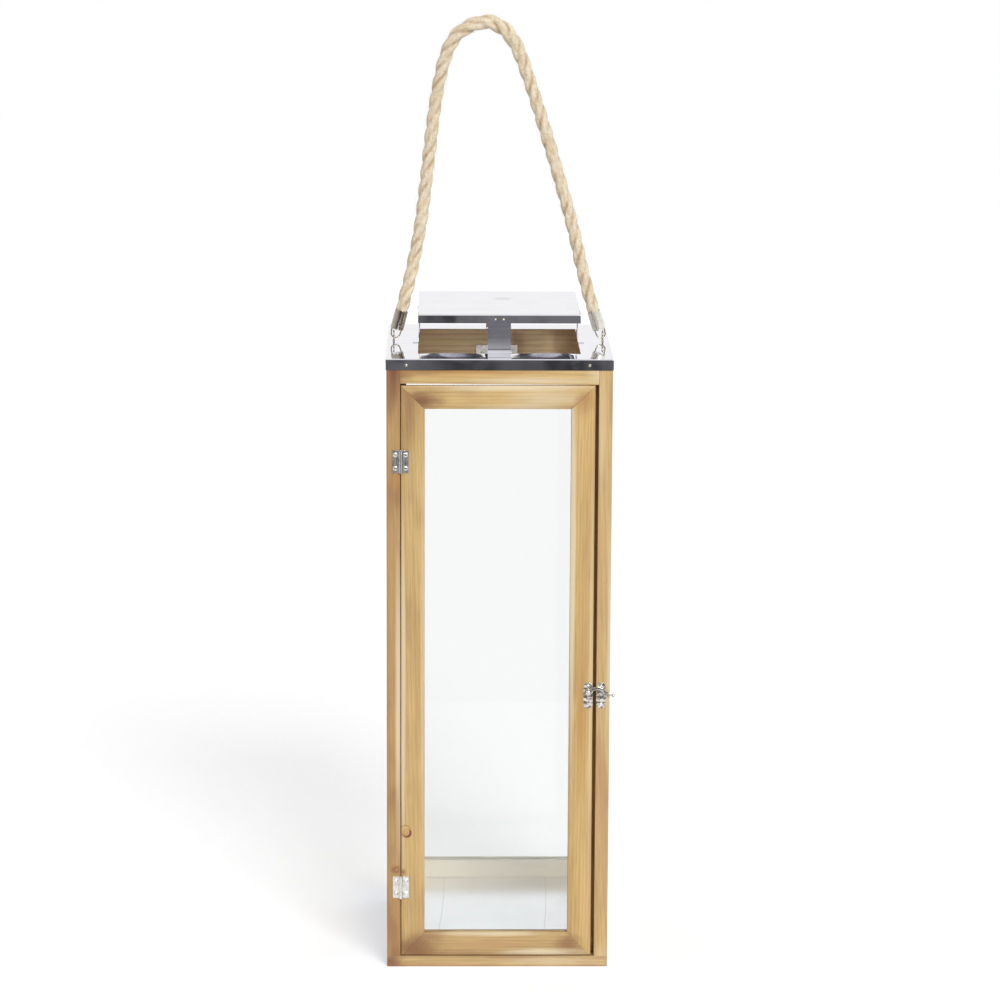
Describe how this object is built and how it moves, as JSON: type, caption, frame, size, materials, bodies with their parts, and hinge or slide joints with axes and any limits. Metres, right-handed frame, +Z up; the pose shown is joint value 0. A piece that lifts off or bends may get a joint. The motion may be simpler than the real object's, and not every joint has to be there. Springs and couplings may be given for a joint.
{
  "type": "candle lantern",
  "caption": "Tall square candle lantern: glazed wooden case, hinged glass door with a hook latch, folded steel roof with a raised vent cap and a rope carrying handle.",
  "frame": {"origin": "middle of the case's footprint on the ground", "axes": "+Z up, -Y towards the viewer (the door's face), +X to the viewer's right"},
  "size_m": [0.2575, 0.2563, 1.0637],
  "materials": {
    "case_wood": "planed softwood, oiled",
    "door_wood": "planed softwood, oiled",
    "board": "plain board",
    "floor_metal": "satin sheet",
    "glass": "clear float glass",
    "polished_steel": "mirror polished sheet",
    "sheet_fasteners": "bright",
    "hinge_steel": "zinc plated",
    "latch_nickel": "nickel plated",
    "handle_nickel": "nickel plated, rubbed",
    "rope": "twisted natural fibre"
  },
  "bodies": {
    "carcass": {"front_left_post": "case_wood", "front_right_post": "case_wood", "back_left_post": "case_wood", "back_right_post": "case_wood", "front_sill": "case_wood", "front_top_rail": "case_wood", "back_top_rail": "case_wood", "left_top_rail": "case_wood", "right_top_rail": "case_wood", "back_bottom_rail": "case_wood", "left_bottom_rail": "case_wood", "right_bottom_rail": "case_wood", "left_door_stop": "case_wood", "right_door_stop": "case_wood", "front_base_batten": "case_wood", "back_base_batten": "case_wood", "base_board": "board", "floor_plate": "floor_metal", "left_glass": "glass", "right_glass": "glass", "back_glass": "glass", "roof_tray": "polished_steel", "roof_nails": "sheet_fasteners", "cap_plate": "polished_steel", "front_strap": "polished_steel", "back_strap": "polished_steel", "left_strap": "polished_steel", "right_strap": "polished_steel", "strap_rivets": "sheet_fasteners", "back_rail_plate": "hinge_steel", "back_plate_screws": "hinge_steel", "left_screw_eye": "handle_nickel", "right_screw_eye": "handle_nickel", "upper_hinge_post_leaf": "hinge_steel", "lower_hinge_post_leaf": "hinge_steel", "upper_hinge_pin": "hinge_steel", "lower_hinge_pin": "hinge_steel", "hinge_post_screws": "hinge_steel", "keeper_plate": "latch_nickel", "keeper_peg": "latch_nickel", "keeper_screws": "latch_nickel"},
    "door": {"door_hinge_stile": "door_wood", "door_latch_stile": "door_wood", "door_top_rail": "door_wood", "door_bottom_rail": "door_wood", "door_glazing_beads": "door_wood", "door_glass": "glass", "upper_hinge_door_leaf": "hinge_steel", "lower_hinge_door_leaf": "hinge_steel", "hinge_door_screws": "hinge_steel", "latch_plate": "latch_nickel", "latch_pivot": "latch_nickel", "latch_screws": "latch_nickel"},
    "latch_hook_body": {"latch_hook": "latch_nickel"},
    "handle": {"rope_handle": "rope", "left_ferrule": "handle_nickel", "right_ferrule": "handle_nickel", "left_bail": "handle_nickel", "right_bail": "handle_nickel"}
  },
  "joints": [
    {"name": "door_hinge", "type": "hinge", "parent": "carcass", "child": "door", "pos_m": [-0.10915, -0.1269, 0.3384], "axis": [0, 0, -1], "range_deg": [0, 165]},
    {"name": "latch_turn", "type": "hinge", "parent": "door", "child": "latch_hook_body", "pos_m": [0.1004, -0.12765, 0.3211], "axis": [0, -1, 0], "range_deg": [0, 100]},
    {"name": "handle_swing", "type": "hinge", "parent": "carcass", "child": "handle", "pos_m": [0, 0, 0.7024], "axis": [1, 0, 0], "range_deg": [-45, 45]}
  ]
}
